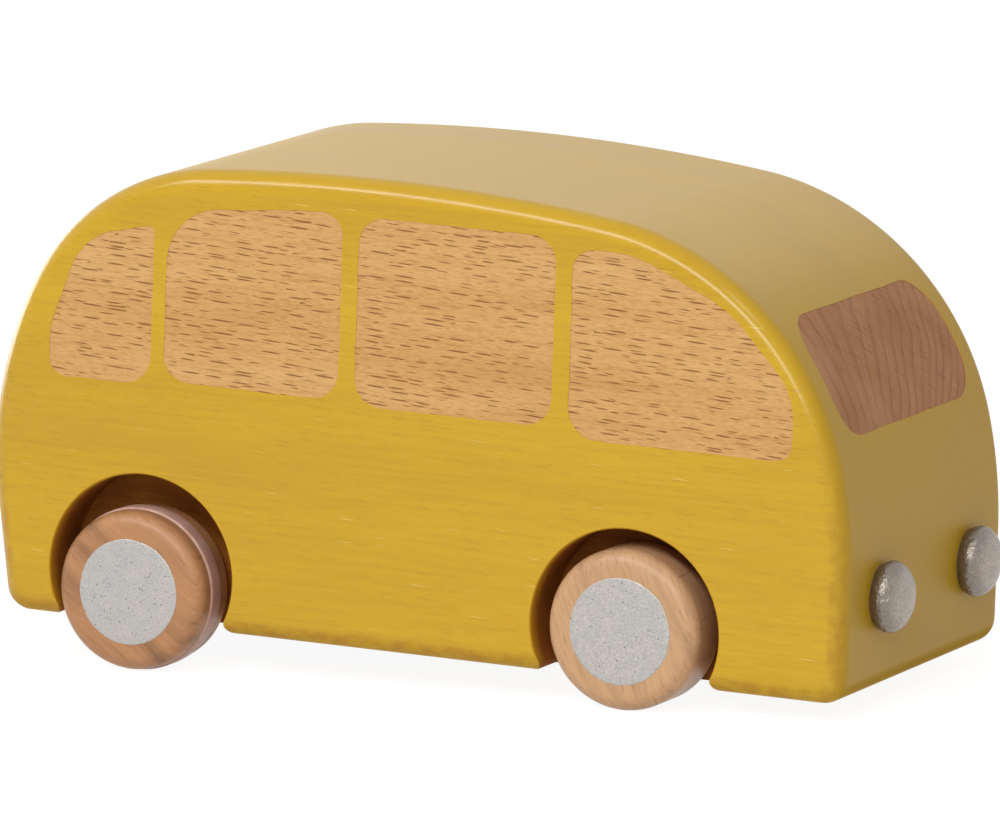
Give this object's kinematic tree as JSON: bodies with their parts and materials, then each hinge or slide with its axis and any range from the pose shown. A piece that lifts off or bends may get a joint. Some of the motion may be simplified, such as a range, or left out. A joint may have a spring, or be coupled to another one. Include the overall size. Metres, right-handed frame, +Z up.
{
  "type": "toy bus",
  "caption": "Wooden toy bus: a rounded painted beech block with bare-wood windows and domed headlights, on turned wheels, its rear axle driven by a pull-back spring motor",
  "frame": {"origin": "middle of the footprint on the ground, under the bus", "axes": "+X is the front of the bus, +Y its left side, +Z up"},
  "size_m": [0.1312, 0.0604, 0.0699],
  "materials": {
    "painted_beech": "thin yellow paint over beech, grain showing through, bare wood at the windows",
    "silver_buttons": "silver paint on a turned wooden button",
    "turned_beech": "oiled turned beech with a silver painted hub disc",
    "ring_rubber": "translucent pinkish grey rubber",
    "case_plastic": "moulded dark grey plastic",
    "gear_plastic": "moulded white acetal",
    "bright_steel": "drawn steel rod",
    "spring_steel": "blued spring strip"
  },
  "bodies": {
    "chassis": {"body": "painted_beech", "headlight_left": "silver_buttons", "headlight_right": "silver_buttons", "motor_case_left": "case_plastic", "motor_case_right": "case_plastic", "gear_pin": "bright_steel", "mainspring": "spring_steel", "motor_screw_front_left": "bright_steel", "motor_screw_front_right": "bright_steel", "motor_screw_rear_left": "bright_steel", "motor_screw_rear_right": "bright_steel"},
    "front_wheels": {"front_axle": "bright_steel", "front_wheel_left": "turned_beech", "front_wheel_right": "turned_beech"},
    "rear_wheels": {"rear_axle": "bright_steel", "rear_wheel_left": "turned_beech", "rear_wheel_right": "turned_beech", "traction_ring_left": "ring_rubber", "traction_ring_right": "ring_rubber", "axle_gear": "gear_plastic"},
    "compound": {"compound_gear": "gear_plastic"},
    "spring_drive": {"spring_gear": "gear_plastic", "spring_arbor": "bright_steel"}
  },
  "joints": [
    {"name": "front_axle_spin", "type": "hinge", "parent": "chassis", "child": "front_wheels", "pos_m": [0.02924, 0, 0.011], "axis": [0, 1, 0], "continuous": true},
    {"name": "rear_axle_spin", "type": "hinge", "parent": "chassis", "child": "rear_wheels", "pos_m": [-0.0439, 0, 0.01125], "axis": [0, 1, 0], "continuous": true},
    {"name": "compound_gear_spin", "type": "hinge", "parent": "chassis", "child": "compound", "pos_m": [-0.03592, 0, 0.02008], "axis": [0, 1, 0], "continuous": true},
    {"name": "spring_gear_spin", "type": "hinge", "parent": "chassis", "child": "spring_drive", "pos_m": [-0.02489, 0, 0.0156], "axis": [0, 1, 0], "continuous": true}
  ],
  "couplings": [
    {"joint": "compound_gear_spin", "follows": "rear_axle_spin", "ratio": -0.41667},
    {"joint": "spring_gear_spin", "follows": "rear_axle_spin", "ratio": 0.17361}
  ]
}
